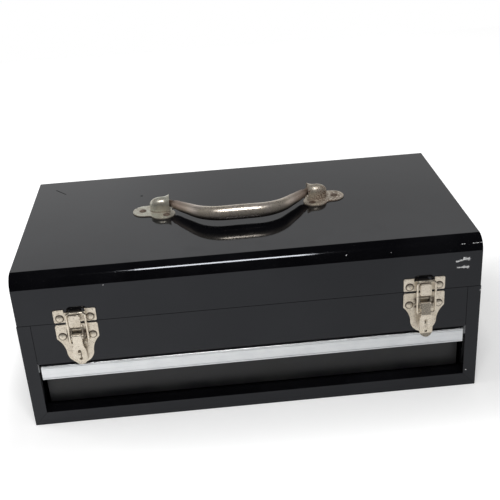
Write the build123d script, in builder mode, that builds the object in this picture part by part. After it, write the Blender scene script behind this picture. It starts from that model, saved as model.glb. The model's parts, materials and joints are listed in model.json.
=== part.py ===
from build123d import *

import os
from math import asin, atan2, cos, degrees, hypot, radians, sin

# Machinist tool chest: a sheet steel case with a hinged lid and one drawer.
#
# Frame: origin at the centre of the case's underside, +X to the right, +Y to the back, +Z up.
# Lengths are in millimetres. The model stands as the chest is stored: lid shut, drawer in,
# handle lying forward, left latch shut and right latch lever swung out a little.

os.makedirs("parts", exist_ok=True)

# ---------------------------------------------------------------- chest body
chest_width = 508.0
chest_depth = 266.7
case_height = 130.8
lid_height = 58.0
seam_gap = 0.5
case_sheet = 0.9
lid_sheet = 1.0
lid_side_step = 0.6
lid_front_radius = 16.0
lid_rear_radius = 2.5
lid_rim_hem = 7.0
lid_end_flange = 9.0

side_flange_width = 14.8
bottom_flange_height = 16.3
flange_depth = 18.0
opening_height = 64.3
mitre_seam = 0.35
panel_seam = 0.4
panel_return = 12.0
floor_flange = 12.0
weld_flange = 12.0
seat_gap = 0.3

# ---------------------------------------------------------------- drawer
drawer_side_gap = 3.0
drawer_floor_gap = 1.7
drawer_front_height = 60.6
drawer_front_return = 7.0
tray_back_gap = 12.8
tray_height = 55.0
tray_inset = 11.2
tray_sheet = 0.8
drawer_travel = 190.0
runner_height = 9.8
runner_sheet = 1.2
rail_sheet = 1.2
rail_tab = 12.0
rail_level = 60.0
rail_start = 8.0
stop_drop = 4.6
stop_half_width = 12.0
stop_foot = 10.0
stop_tab_half_width = 8.0

pull_height = 17.1
pull_top = 77.1
pull_wall = 1.7
pull_front_setback = 0.5
pull_side_gap = 2.7
pull_groove_width = 0.8
pull_groove_depth = 0.4
pull_groove_inset = 2.2
pull_top_round = 1.2
pull_foot_round = 0.7
pull_rivet_count = 5
pull_rivet_spacing = 96.0

# ---------------------------------------------------------------- rear hinge
hinge_knuckle_count = 20
knuckle_gap = 0.3
hinge_barrel_radius = 2.5
hinge_pin_radius = 1.2
hinge_pin_clearance = 0.05
hinge_leaf_sheet = 0.9
hinge_leaf_height = 14.0
hinge_stand_off = 2.9
hinge_rivet_count = 8
hinge_rivet_edge = 5.0
hinge_head_height = 1.0
hinge_tail_height = 0.8

# ---------------------------------------------------------------- latches
latch_inset = 64.0
latch_sheet = 1.2
plate_width = 45.8
plate_top_drop = 1.5
plate_shoulder_drop = 18.8
plate_tip_drop = 51.3
plate_waist_width = 29.2
plate_waist_drop = 35.8
strike_rise = 0.6
strike_height = 15.4
ear_width = 11.6
strike_bridge_height = 11.9
tongue_width = 12.8
tongue_drop = 14.4
tongue_corner_radius = 2.0
tongue_edge = 0.8
tongue_reach = 9.6
rivet_offset = 16.3
strike_rivet_rise = 6.1
plate_rivet_drop = 15.8
latch_rivet_radius = 4.2
latch_rivet_height = 1.6
rivet_rim = 0.5
latch_rivet_shank = 1.9
rivet_tail_radius = 3.0
rivet_tail_height = 0.9
shank_clearance = 0.1

lever_pivot_drop = 14.7
lever_pivot_reach = 6.0
lever_head_radius = 3.7
lever_head_corner = 1.7
lever_sheet = 1.2
lever_top_width = 10.2
lever_width = 14.6
lever_straight = 10.5
lever_lower = 22.5
lever_crank = 15.0
lever_lip = 4.2
lever_lip_turn = 25.0
lever_bend_radius = 5.0
lever_flare_start = 6.0
lever_flare_end = 19.0
lever_pin_radius = 1.5
lever_pin_clearance = 0.05
lever_pin_head = 0.3
lever_slot_width = 3.4
lever_slot_start = 15.5
lever_slot_length = 15.5
right_lever_swing = 17.0
lug_gap = 0.4
lug_sheet = 1.1
lug_nose_radius = 3.4
lug_shoulder_reach = 3.4
lug_shoulder_drop = 3.0
lug_top_drop = 1.0
plate_rib_drop = 7.5
plate_rib_radius = 2.2
plate_edge = 0.4
staple_width = 1.8
staple_drop = 40.3
staple_height = 6.8
staple_reach = 10.6
staple_hole_radius = 1.8

bail_wire_radius = 1.3
bail_inner_width = 17.3
bail_corner_radius = 3.8
bail_hook_radius = 1.9
bail_pivot_drop = 8.6
cheek_boss_radius = 2.2
bail_foot_overrun = 0.7
left_bail_shift = 1.6
right_bail_shift = 1.2
bail_pivot_inset = 1.2
bail_bar_reach = 6.3
bail_hole_clearance = 0.05
bail_seat_gap = 0.3

# ---------------------------------------------------------------- carrying handle
handle_axis_behind_centre = 12.4
handle_axis_height = 9.0
handle_rest_tilt = 4.2
handle_reach = 51.7
handle_neck_offset = 83.0
handle_bend_offset = 40.0
handle_neck_bend = 10.0
handle_grip_bend = 45.0
handle_rod_radius = 4.2
handle_stub_end = 99.0
handle_head_radius = 5.9
handle_head_length = 5.0
handle_running_clearance = 0.05
grip_start = 0.107
grip_neck_radius = 5.2
grip_middle_radius = 8.6
grip_rod_clearance = 0.1

cup_mouth_offset = 83.0
cup_length = 23.4
cup_dome_length = 12.4
cup_body_radius = 8.2
cup_mouth_radius = 10.5
cup_wall = 1.0
cup_plate_sheet = 1.2
cup_outer_lobe_offset = 29.0
cup_outer_lobe_radius = 15.2
cup_side_lobe_offset = 8.0
cup_side_lobe_spread = 12.2
cup_side_lobe_radius = 14.2
cup_lobe_fillet = 7.0
cup_outer_rivet_offset = 32.5
cup_side_rivet_offset = 4.0
cup_side_rivet_spread = 16.0
cup_rivet_radius = 4.0
cup_rivet_height = 1.6

# ---------------------------------------------------------------- lid stay
stay_case_back = 73.0
stay_case_drop = 17.0
stay_lid_back = 72.0
stay_lid_rise = 20.0
stay_link_width = 12.0
stay_link_sheet = 1.5
stay_pin_radius = 2.0
stay_hole_clearance = 0.05
stay_gap = 0.3
stay_head_radius = 4.0
stay_head_height = 1.2
stay_wall_gap = 3.3
stay_stop_offset = 10.0

# ---------------------------------------------------------------- places worked out from the sizes
front_y = -chest_depth / 2
rear_y = chest_depth / 2
half_width = chest_width / 2
inner_half = half_width - case_sheet
lid_bottom = case_height + seam_gap
lid_top = lid_bottom + lid_height
lid_half = half_width - lid_side_step
opening_half = half_width - side_flange_width
opening_top = bottom_flange_height + opening_height
recess_y = front_y + flange_depth
drawer_half = opening_half - drawer_side_gap
drawer_bottom = bottom_flange_height + drawer_floor_gap
drawer_top = drawer_bottom + drawer_front_height
tray_half = drawer_half - tray_inset
tray_front = recess_y + case_sheet
tray_rear = rear_y - tray_back_gap
tray_bottom = drawer_bottom + case_sheet
tray_top = tray_bottom + tray_height
floor_level = opening_top + case_sheet
latch_centre = half_width - latch_inset
plate_top = case_height - plate_top_drop
plate_shoulder = case_height - plate_shoulder_drop
plate_waist_level = case_height - plate_waist_drop
plate_tip = case_height - plate_tip_drop
plate_rivet_level = case_height - plate_rivet_drop
lever_pivot_level = case_height - lever_pivot_drop
staple_bottom = case_height - staple_drop
strike_bottom = lid_bottom + strike_rise
strike_rivet_level = lid_bottom + strike_rivet_rise
hinge_y = rear_y + hinge_stand_off
hinge_z = case_height + seam_gap / 2
handle_y = handle_axis_behind_centre
handle_z = lid_top + handle_axis_height


def slab(x, y, z, mode=Mode.ADD):
    """A box between two corners, each of x, y and z given as (low, high)."""
    spans = [high - low for low, high in (x, y, z)]
    centre = [(high + low) / 2 for low, high in (x, y, z)]
    with Locations(tuple(centre)):
        Box(*spans, mode=mode)


def save(piece, node):
    piece.part.label = node
    export_step(piece.part, f"parts/{node}.step")


def row_of(count, spacing):
    """Centres of a row of equal spacing about zero."""
    return [(index - (count - 1) / 2) * spacing for index in range(count)]


# ================================================================ case
def make_case_shell():
    """Bottom and both sides in one wrap, with box folds along the bottom and sides of the front."""
    front_skin = (front_y, front_y + case_sheet)
    fold = (front_y, recess_y + case_sheet)
    with BuildPart() as shell:
        slab((-half_width, half_width), (front_y, rear_y), (0, case_sheet))
        slab((-half_width, half_width), front_skin, (0, bottom_flange_height))
        ledge = (bottom_flange_height - case_sheet, bottom_flange_height)
        slab((-half_width, half_width), fold, ledge)
        back_leg = (recess_y, recess_y + case_sheet)
        slab((-half_width, half_width), back_leg, (0, bottom_flange_height))
        for side in (-1, 1):
            wall = sorted((side * half_width, side * inner_half))
            flange = sorted((side * half_width, side * opening_half))
            fold_skin = sorted((side * opening_half, side * (opening_half + case_sheet)))
            slab(wall, (front_y, rear_y), (0, case_height))
            slab(flange, front_skin, (0, case_height))
            slab(fold_skin, fold, (0, case_height))
            if side > 0:
                cut_stay_hole(wall, stay_case_pivot())
        cut_mitre_seams()
    return shell


def cut_mitre_seams():
    """The two lower front corners of the wrap meet on a diagonal seam."""
    rise = atan2(bottom_flange_height, side_flange_width)
    length = hypot(bottom_flange_height, side_flange_width) + 2
    for side in (-1, 1):
        middle_x = side * (half_width - side_flange_width / 2)
        turn = degrees(rise) * side
        with Locations(Location((middle_x, front_y, bottom_flange_height / 2), (0, turn, 0))):
            Box(length, case_sheet, mitre_seam, mode=Mode.SUBTRACT)


def cut_stay_hole(wall, pivot):
    """A hole through a side wall for the shank of a stay stud."""
    with Locations(Location(((wall[0] + wall[1]) / 2, *pivot), (0, 90, 0))):
        reach = wall[1] - wall[0] + 2
        Cylinder(stay_pin_radius + shank_clearance, reach, mode=Mode.SUBTRACT)


def make_rear_panel():
    """The case's back, between the sides, with a weld flange folded forward at each end."""
    with BuildPart() as panel:
        slab((-inner_half, inner_half), (rear_y - case_sheet, rear_y), (case_sheet, case_height))
        for side in (-1, 1):
            flange = sorted((side * inner_half, side * (inner_half - case_sheet)))
            slab(flange, (rear_y - weld_flange, rear_y), (case_sheet, case_height))
        for x in hinge_rivet_places():
            cut_through_y(x, rear_y, case_hinge_rivet_level(), hinge_rivet_shank())
    return panel


def cut_through_y(x, y, z, radius, depth=6.0):
    """A round hole along Y, centred on a point."""
    with Locations(Location((x, y, z), (90, 0, 0))):
        Cylinder(radius, 2 * depth, mode=Mode.SUBTRACT)


def make_front_panel():
    """The fixed panel above the drawer, flush with the flanges and folded in on four sides."""
    half = opening_half - panel_seam
    level = (opening_top, case_height)
    back = front_y + panel_return
    with BuildPart() as panel:
        slab((-half, half), (front_y, front_y + case_sheet), level)
        slab((-half, half), (front_y, back), (opening_top, opening_top + case_sheet))
        slab((-half, half), (front_y, back), (case_height - case_sheet, case_height))
        for side in (-1, 1):
            fold = sorted((side * half, side * (half - case_sheet)))
            slab(fold, (front_y, back), level)
        for centre in (-latch_centre, latch_centre):
            for offset in (-rivet_offset, rivet_offset):
                hole = latch_rivet_shank + shank_clearance
                cut_through_y(centre + offset, front_y, plate_rivet_level, hole)
    return panel


def make_compartment_floor():
    """Floor of the upper compartment, which closes the drawer space from above."""
    level = (floor_level, floor_level + case_sheet)
    skirt = (floor_level, floor_level + floor_flange)
    front = front_y + case_sheet
    fold_clear = recess_y + case_sheet + seat_gap
    with BuildPart() as floor:
        slab((-inner_half, inner_half), (front, rear_y - case_sheet), level)
        rear_leg = (rear_y - 2 * case_sheet, rear_y - case_sheet)
        slab((-inner_half + 2, inner_half - 2), rear_leg, skirt)
        for side in (-1, 1):
            leg = sorted((side * inner_half, side * (inner_half - case_sheet)))
            slab(leg, (fold_clear, rear_y - weld_flange - seat_gap), skirt)
            notch_inner = opening_half - panel_seam - case_sheet - seat_gap
            notch = sorted((side * half_width, side * notch_inner))
            slab(notch, (front_y, fold_clear), (floor_level - 1, floor_level + 2), Mode.SUBTRACT)
            corner = sorted((side * half_width, side * (inner_half - case_sheet)))
            rear_zone = (rear_y - weld_flange - seat_gap, rear_y)
            slab(corner, rear_zone, (floor_level - 1, floor_level + 20), Mode.SUBTRACT)
    return floor


def make_slide_rail(side):
    """Channel that carries the drawer's runner, stood off the case wall by its own flanges."""
    web_outer = opening_half - seat_gap
    web_inner = web_outer - rail_sheet
    edge = tray_half + 1.0
    top = rail_level + runner_height + 2 * seat_gap
    run = (recess_y + rail_start, rear_y - weld_flange - seat_gap)
    with BuildPart() as rail:
        tab = sorted((side * inner_half, side * (inner_half - rail_sheet)))
        slab(tab, run, (rail_level - rail_sheet - rail_tab, rail_level))
        span = sorted((side * inner_half, side * edge))
        slab(span, run, (rail_level - rail_sheet, rail_level))
        slab(span, run, (top, top + rail_sheet))
        web = sorted((side * web_outer, side * web_inner))
        slab(web, run, (rail_level, top))
    return rail


def make_drawer_stops():
    """Two angles under the compartment floor that catch the tray's rear stop tabs."""
    catch_y = tray_rear - drawer_travel
    with BuildPart() as stops:
        for side in (-1, 1):
            middle = side * tray_half / 2
            width = (middle - stop_half_width, middle + stop_half_width)
            leg = (catch_y - tray_sheet - seat_gap - rail_sheet, catch_y - tray_sheet - seat_gap)
            slab(width, leg, (floor_level - stop_drop, floor_level))
            slab(width, (leg[0] - stop_foot, leg[1]), (floor_level - rail_sheet, floor_level))
    return stops


# ================================================================ drawer
def make_drawer_tray():
    """Open steel box with a stop tab raised on its rear wall at each side."""
    outer = (-tray_half, tray_half)
    inner = (-tray_half + tray_sheet, tray_half - tray_sheet)
    with BuildPart() as tray:
        slab(outer, (tray_front, tray_rear), (tray_bottom, tray_top))
        hollow = (tray_front + tray_sheet, tray_rear - tray_sheet)
        slab(inner, hollow, (tray_bottom + tray_sheet, tray_top + 1), Mode.SUBTRACT)
        tab_top = floor_level - rail_sheet - seat_gap
        for side in (-1, 1):
            middle = side * tray_half / 2
            width = (middle - stop_tab_half_width, middle + stop_tab_half_width)
            slab(width, (tray_rear - tray_sheet, tray_rear), (tray_top - 1, tab_top))
        for x in row_of(pull_rivet_count, pull_rivet_spacing):
            cut_through_y(x, tray_front, pull_rivet_level(), pull_rivet_shank(), 2.0)
    return tray


def make_drawer_front():
    """Recessed black face of the drawer, its edges folded back."""
    face = (recess_y, recess_y + case_sheet)
    fold = (recess_y, recess_y + drawer_front_return)
    level = (drawer_bottom, drawer_top)
    with BuildPart() as front:
        slab((-drawer_half, drawer_half), face, level)
        slab((-drawer_half, drawer_half), fold, (drawer_bottom, drawer_bottom + case_sheet))
        slab((-drawer_half, drawer_half), fold, (drawer_top - case_sheet, drawer_top))
        for side in (-1, 1):
            edge = sorted((side * drawer_half, side * (drawer_half - case_sheet)))
            slab(edge, fold, level)
        for x in row_of(pull_rivet_count, pull_rivet_spacing):
            cut_through_y(x, recess_y, pull_rivet_level(), pull_rivet_shank(), 2.0)
    return front


def pull_half():
    return opening_half - pull_side_gap


def pull_rivet_level():
    return pull_top - pull_height / 2


def pull_rivet_shank():
    return latch_rivet_shank + shank_clearance


def make_drawer_pull():
    """Full-width extruded pull: a front lip, a top web and a back leg riveted to the drawer front."""
    lip_front = front_y + pull_front_setback
    lip_back = lip_front + pull_wall
    bottom = pull_top - pull_height
    half = pull_half()
    with BuildPart() as pull:
        with BuildSketch(Plane.YZ.offset(-half)) as profile:
            with BuildLine():
                Polyline(
                    (lip_front, bottom),
                    (lip_front, pull_top),
                    (recess_y, pull_top),
                    (recess_y, bottom),
                    (recess_y - pull_wall, bottom),
                    (recess_y - pull_wall, pull_top - pull_wall),
                    (lip_back, pull_top - pull_wall),
                    (lip_back, bottom),
                    close=True,
                )
            make_face()
            rounded = profile.vertices().group_by(Axis.X)[0].sort_by(Axis.Y)
            fillet(rounded[-1], pull_top_round)
            foot = profile.vertices().group_by(Axis.X)[0].sort_by(Axis.Y)[0]
            fillet(foot, pull_foot_round)
        extrude(amount=2 * half)
        for level in (bottom + pull_groove_inset, pull_top - pull_groove_inset):
            groove = (level - pull_groove_width / 2, level + pull_groove_width / 2)
            depth = (lip_front - 1, lip_front + pull_groove_depth)
            slab((-half - 1, half + 1), depth, groove, Mode.SUBTRACT)
        for x in row_of(pull_rivet_count, pull_rivet_spacing):
            cut_through_y(x, recess_y - pull_wall / 2, pull_rivet_level(), pull_rivet_shank(), 2.0)
    return pull


def make_pull_rivets():
    """Rivets through the pull's back leg, the drawer front and the tray."""
    start = recess_y - pull_wall
    end = tray_front + tray_sheet
    with BuildPart() as rivets:
        for x in row_of(pull_rivet_count, pull_rivet_spacing):
            add_rivet(x, start, end, pull_rivet_level(), rivet_tail_radius)
    return rivets


def make_drawer_runner(side):
    """Channel along the tray's side that slides in the case's rail."""
    inner = tray_half
    outer = opening_half - 2 * seat_gap - rail_sheet
    bottom = rail_level + seat_gap
    top = bottom + runner_height
    run = (tray_front + rail_start, tray_rear)
    with BuildPart() as runner:
        span = sorted((side * inner, side * outer))
        slab(span, run, (bottom, bottom + runner_sheet))
        slab(span, run, (top - runner_sheet, top))
        web = sorted((side * outer, side * (outer - runner_sheet)))
        slab(web, run, (bottom, top))
    return runner


# ================================================================ fasteners
def rivet_head_face(seat, radius, height):
    """Half of a rivet's head in section: a short upright rim under a low dome."""
    crown = height - rivet_rim
    dome = (radius**2 + crown**2) / (2 * crown)
    half_turn = asin(radius / dome) / 2
    middle = (dome * sin(half_turn), height - dome * (1 - cos(half_turn)))
    with BuildSketch(seat) as head:
        with BuildLine():
            Polyline((0, height), (0, 0), (radius, 0), (radius, rivet_rim))
            ThreePointArc((radius, rivet_rim), middle, (0, height))
        make_face()
    return head.sketch


def add_rivet(x, front, back, z, head_radius, head_height=latch_rivet_height):
    """A domed head in front of a plate, its shank along Y and a flat tail behind."""
    shank = back - front + rivet_tail_height + head_height / 2
    with Locations(Location((x, front - head_height / 2, z), (-90, 0, 0))):
        Cylinder(latch_rivet_shank, shank, align=(Align.CENTER, Align.CENTER, Align.MIN))
    seat = Plane((x, front, z), x_dir=(1, 0, 0), z_dir=(0, 0, -1))
    revolve(rivet_head_face(seat, head_radius, head_height), axis=Axis((x, front, z), (0, 1, 0)))
    with Locations(Location((x, back + rivet_tail_height / 2, z), (90, 0, 0))):
        Cylinder(rivet_tail_radius, rivet_tail_height)


def add_lid_rivet(x, y, top, bottom):
    """A domed head on top of a plate, its shank along Z and a flat tail below."""
    with Locations((x, y, (top + bottom) / 2)):
        Cylinder(latch_rivet_shank, top - bottom + rivet_tail_height)
    seat = Plane((x, y, top), x_dir=(1, 0, 0), z_dir=(0, -1, 0))
    head = rivet_head_face(seat, cup_rivet_radius, cup_rivet_height)
    revolve(head, axis=Axis((x, y, top), (0, 0, 1)))
    with Locations((x, y, bottom - rivet_tail_height / 2)):
        Cylinder(rivet_tail_radius, rivet_tail_height)


# ================================================================ rear hinge
def hinge_rivet_shank():
    return latch_rivet_shank + shank_clearance


def hinge_rivet_places():
    return row_of(hinge_rivet_count, chest_width / hinge_rivet_count)


def make_hinge_leaf(first, direction, rivet_z):
    """One leaf of the piano hinge with every second knuckle, rolled about the pin."""
    pitch = 2 * (lid_half - 1) / hinge_knuckle_count
    start = -(lid_half - 1)
    near = hinge_z + direction * (hinge_barrel_radius + seat_gap)
    far = hinge_z + direction * hinge_leaf_height
    with BuildPart() as leaf:
        span = (start + knuckle_gap / 2, -start - knuckle_gap / 2)
        slab(span, (rear_y, rear_y + hinge_leaf_sheet), sorted((near, far)))
        for index in range(first, hinge_knuckle_count, 2):
            low = start + index * pitch + knuckle_gap / 2
            high = low + pitch - knuckle_gap
            tab = (rear_y, rear_y + hinge_leaf_sheet)
            slab((low, high), tab, sorted((hinge_z, near)))
            with Locations(Location(((low + high) / 2, hinge_y, hinge_z), (0, 90, 0))):
                Cylinder(hinge_barrel_radius, high - low)
        bore = hinge_pin_radius + hinge_pin_clearance
        with Locations(Location((0, hinge_y, hinge_z), (0, 90, 0))):
            Cylinder(bore, chest_width, mode=Mode.SUBTRACT)
        for x in hinge_rivet_places():
            cut_through_y(x, rear_y, rivet_z, hinge_rivet_shank(), 2.0)
    return leaf


def make_hinge_pin():
    """The wire that both leaves turn on, headed at one end."""
    length = 2 * (lid_half - 1)
    with BuildPart() as pin:
        with Locations(Location((0, hinge_y, hinge_z), (0, 90, 0))):
            Cylinder(hinge_pin_radius, length)
        with Locations(Location((length / 2 + 0.3, hinge_y, hinge_z), (0, 90, 0))):
            Cylinder(hinge_barrel_radius - 0.5, 0.6)
    return pin


def make_hinge_rivets(wall_sheet, rivet_z):
    """Low rivets through a leaf and the wall that it lies on."""
    with BuildPart() as rivets:
        for x in hinge_rivet_places():
            outer = rear_y + hinge_leaf_sheet
            inner = rear_y - wall_sheet
            with Locations(Location((x, (outer + inner) / 2, rivet_z), (90, 0, 0))):
                Cylinder(latch_rivet_shank, outer - inner + hinge_head_height)
            with Locations(Location((x, outer + hinge_head_height / 2, rivet_z), (90, 0, 0))):
                Cylinder(rivet_tail_radius, hinge_head_height)
            with Locations(Location((x, inner - hinge_tail_height / 2, rivet_z), (90, 0, 0))):
                Cylinder(rivet_tail_radius, hinge_tail_height)
    return rivets


# ================================================================ lid
def lid_outline(inset, x=0.0):
    """The lid's closed outline in a YZ plane, drawn in by the given distance."""
    with BuildSketch(Plane.YZ.offset(x)) as outline:
        width = chest_depth - 2 * inset
        height = lid_height - inset
        with Locations((0, lid_bottom + height / 2)):
            Rectangle(width, height)
        top = outline.vertices().group_by(Axis.Y)[-1].sort_by(Axis.X)
        fillet(top[0], lid_front_radius - inset)
        top = outline.vertices().group_by(Axis.Y)[-1].sort_by(Axis.X)
        fillet(top[-1], lid_rear_radius - inset)
    return outline.sketch


def make_lid_shell():
    """Front skirt, rounded top and rear skirt in one wrap, with a hem along the front rim."""
    with BuildPart() as shell:
        extrude(lid_outline(0), amount=lid_half, both=True)
        extrude(lid_outline(lid_sheet), amount=lid_half + 1, both=True, mode=Mode.SUBTRACT)
        hem = (front_y, front_y + lid_rim_hem)
        slab((-lid_half, lid_half), hem, (lid_bottom, lid_bottom + lid_sheet))
        corner_clear = lid_half - lid_end_flange - seat_gap
        for side in (-1, 1):
            end = sorted((side * lid_half, side * corner_clear))
            corner = (front_y + lid_sheet, front_y + lid_rim_hem + 1)
            slab(end, corner, (lid_bottom - 1, lid_bottom + 2), Mode.SUBTRACT)
        for centre in (-latch_centre, latch_centre):
            for offset in (-rivet_offset, rivet_offset):
                hole = latch_rivet_shank + shank_clearance
                cut_through_y(centre + offset, front_y, strike_rivet_level, hole)
        for x, y in handle_rivet_places():
            with Locations((x, y, lid_top)):
                Cylinder(latch_rivet_shank + shank_clearance, 6, mode=Mode.SUBTRACT)
        for x in hinge_rivet_places():
            cut_through_y(x, rear_y, lid_hinge_rivet_level(), hinge_rivet_shank(), 3.0)
    return shell


def case_hinge_rivet_level():
    return hinge_z - hinge_leaf_height + hinge_rivet_edge


def lid_hinge_rivet_level():
    return hinge_z + hinge_leaf_height - hinge_rivet_edge


def make_lid_end(side):
    """End plate of the lid, set inside the wrap, with a flange folded inwards on three sides."""
    outer = side * lid_half
    with BuildPart() as end:
        extrude(lid_outline(lid_sheet, outer), amount=-side * lid_end_flange)
        hollow = lid_outline(2 * lid_sheet, outer - side * lid_sheet)
        extrude(hollow, amount=-side * lid_end_flange, mode=Mode.SUBTRACT)
        if side > 0:
            cut_stay_hole(sorted((outer, outer - side * lid_sheet)), stay_lid_pivot())
    return end


# ================================================================ latches
def front_plane(centre):
    """Plane on the chest's front: x to the right, y up, z outwards."""
    return Plane((centre, front_y, 0), x_dir=(1, 0, 0), z_dir=(0, -1, 0))


def side_plane(centre):
    """Plane across the chest's front: x to the back, y up, measured from the front face."""
    return Plane((centre, front_y, 0), x_dir=(0, 1, 0), z_dir=(1, 0, 0))


def make_latch_plate(centre):
    """Riveted base plate with two pivot lugs and the padlock staple bent out of it."""
    lug_offset = lever_top_width / 2 + lug_gap + lug_sheet / 2
    rib = (centre, front_y - latch_sheet, case_height - plate_rib_drop)
    with BuildPart() as plate:
        extrude(latch_plate_face(centre), amount=latch_sheet)
        fillet(plate.faces().sort_by(Axis.Y)[0].edges(), plate_edge)
        with Locations(Location(rib, (0, 90, 0))):
            Cylinder(plate_rib_radius, 2 * lug_offset)
        behind = (front_y, front_y + plate_rib_radius)
        slab((centre - plate_width, centre + plate_width), behind, (0, lid_top), Mode.SUBTRACT)
        for side in (-1, 1):
            extrude(lug_face(centre + side * lug_offset), amount=lug_sheet / 2, both=True)
        extrude(staple_face(centre), amount=staple_width / 2, both=True)
        for side in (-1, 1):
            hole = latch_rivet_shank + shank_clearance
            cut_through_y(centre + side * rivet_offset, front_y, plate_rivet_level, hole, 2.0)
    return plate


def latch_plate_face(centre):
    """The base plate's outline: square shoulders, a drawn-in waist and a round foot."""
    half = plate_width / 2
    waist = plate_waist_width / 2
    mid_x = (half + waist) / 2 - 2.0
    mid_z = (plate_shoulder + plate_waist_level) / 2 - 0.3
    foot_z = (plate_waist_level + plate_tip) / 2 - 3.1
    with BuildSketch(front_plane(centre)) as face:
        with BuildLine():
            Polyline((0, plate_top), (half, plate_top), (half, plate_shoulder))
            ThreePointArc((half, plate_shoulder), (mid_x, mid_z), (waist, plate_waist_level))
            ThreePointArc((waist, plate_waist_level), (waist * 0.72, foot_z), (0, plate_tip))
            Line((0, plate_tip), (0, plate_top))
        make_face()
        mirror(about=Plane.YZ)
        fillet(face.vertices().group_by(Axis.Y)[-1], 2.0)
    return face.sketch


def lug_face(place):
    """One ear that holds the end of the lever's pin."""
    root = -latch_sheet / 2
    nose = lug_nose_radius
    with BuildSketch(side_plane(place)) as ear:
        with BuildLine():
            Line((root, lever_pivot_level - nose), (-lever_pivot_reach, lever_pivot_level - nose))
            ThreePointArc(
                (-lever_pivot_reach, lever_pivot_level - nose),
                (-lever_pivot_reach - nose, lever_pivot_level),
                (-lever_pivot_reach, lever_pivot_level + nose),
            )
            Polyline(
                (-lever_pivot_reach, lever_pivot_level + nose),
                (-lug_shoulder_reach, plate_top - lug_shoulder_drop),
                (root, plate_top - lug_top_drop),
                (root, lever_pivot_level - nose),
            )
        make_face()
        with Locations((-lever_pivot_reach, lever_pivot_level)):
            Circle(lever_pin_radius, mode=Mode.SUBTRACT)
    return ear.sketch


def staple_face(centre):
    """The pierced tab that comes through the lever's slot and takes a padlock."""
    middle = staple_bottom + staple_height / 2
    with BuildSketch(side_plane(centre)) as tab:
        with Locations((-staple_reach / 2, middle)):
            Rectangle(staple_reach, staple_height)
        fillet(tab.vertices().group_by(Axis.X)[0], 2.6)
        with Locations((-staple_reach + 3.2, middle)):
            Circle(staple_hole_radius, mode=Mode.SUBTRACT)
    return tab.sketch


def make_latch_strike(centre):
    """Riveted strike on the lid: two ears joined by a bridge, and a hooked tongue in front."""
    hook = make_strike_hook(centre)
    with BuildPart() as strike:
        extrude(strike_face(centre), amount=latch_sheet)
        fillet(strike.faces().sort_by(Axis.Y)[0].edges(), plate_edge)
        add(hook.part)
        for side in (-1, 1):
            hole = latch_rivet_shank + shank_clearance
            cut_through_y(centre + side * rivet_offset, front_y, strike_rivet_level, hole, 2.0)
    return strike


def make_strike_hook(centre):
    """The shelf that the bail's bar lies on and the tongue that hangs from its front."""
    top = strike_bottom + strike_bridge_height
    face = Plane(
        (centre, front_y - tongue_reach, top - tongue_drop / 2), x_dir=(1, 0, 0), z_dir=(0, 1, 0)
    )
    with BuildPart() as hook:
        with BuildSketch(face):
            RectangleRounded(tongue_width, tongue_drop, tongue_corner_radius)
        extrude(amount=tongue_reach - latch_sheet / 2)
        fillet(hook.faces().sort_by(Axis.Y)[0].edges(), tongue_edge)
        width = (centre - tongue_width, centre + tongue_width)
        pocket = (front_y - tongue_reach + latch_sheet, front_y)
        slab(width, pocket, (top - tongue_drop, top - latch_sheet), Mode.SUBTRACT)
    return hook


def strike_face(centre):
    """Outline of the strike's plate, notched between its two ears."""
    top = strike_bottom + strike_height
    bridge_top = strike_bottom + strike_bridge_height
    with BuildSketch(front_plane(centre)) as face:
        with Locations((0, (strike_bottom + top) / 2)):
            RectangleRounded(plate_width, strike_height, 1.6)
        with Locations((0, (bridge_top + top) / 2 + 1)):
            notch = plate_width - 2 * ear_width
            Rectangle(notch, top - bridge_top + 2, mode=Mode.SUBTRACT)
    return face.sketch


def make_latch_rivets(centre, level, wall_sheet):
    """The two rivets of a plate or strike, through the wall behind it."""
    with BuildPart() as rivets:
        for side in (-1, 1):
            x = centre + side * rivet_offset
            front = front_y - latch_sheet
            add_rivet(x, front, front_y + wall_sheet, level, latch_rivet_radius)
    return rivets


def make_lever_pin(centre):
    """Pivot pin of the lever, peened outside both lugs."""
    span = lever_top_width / 2 + lug_gap + lug_sheet
    place = (centre, front_y - lever_pivot_reach, lever_pivot_level)
    with BuildPart() as pin:
        with Locations(Location(place, (0, 90, 0))):
            Cylinder(lever_pin_radius, 2 * span)
        for side in (-1, 1):
            head = (centre + side * (span + lever_pin_head / 2), place[1], place[2])
            with Locations(Location(head, (0, 90, 0))):
                Cylinder(lever_pin_radius + 0.9, lever_pin_head)
    return pin


def lever_frame(centre, swing):
    """Plane on the lever's pivot: x to the right, y to the lever's head, z outwards."""
    outward = (0, -cos(radians(swing)), sin(radians(swing)))
    origin = (centre, front_y - lever_pivot_reach, lever_pivot_level)
    return Plane(origin, x_dir=(1, 0, 0), z_dir=outward)


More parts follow.
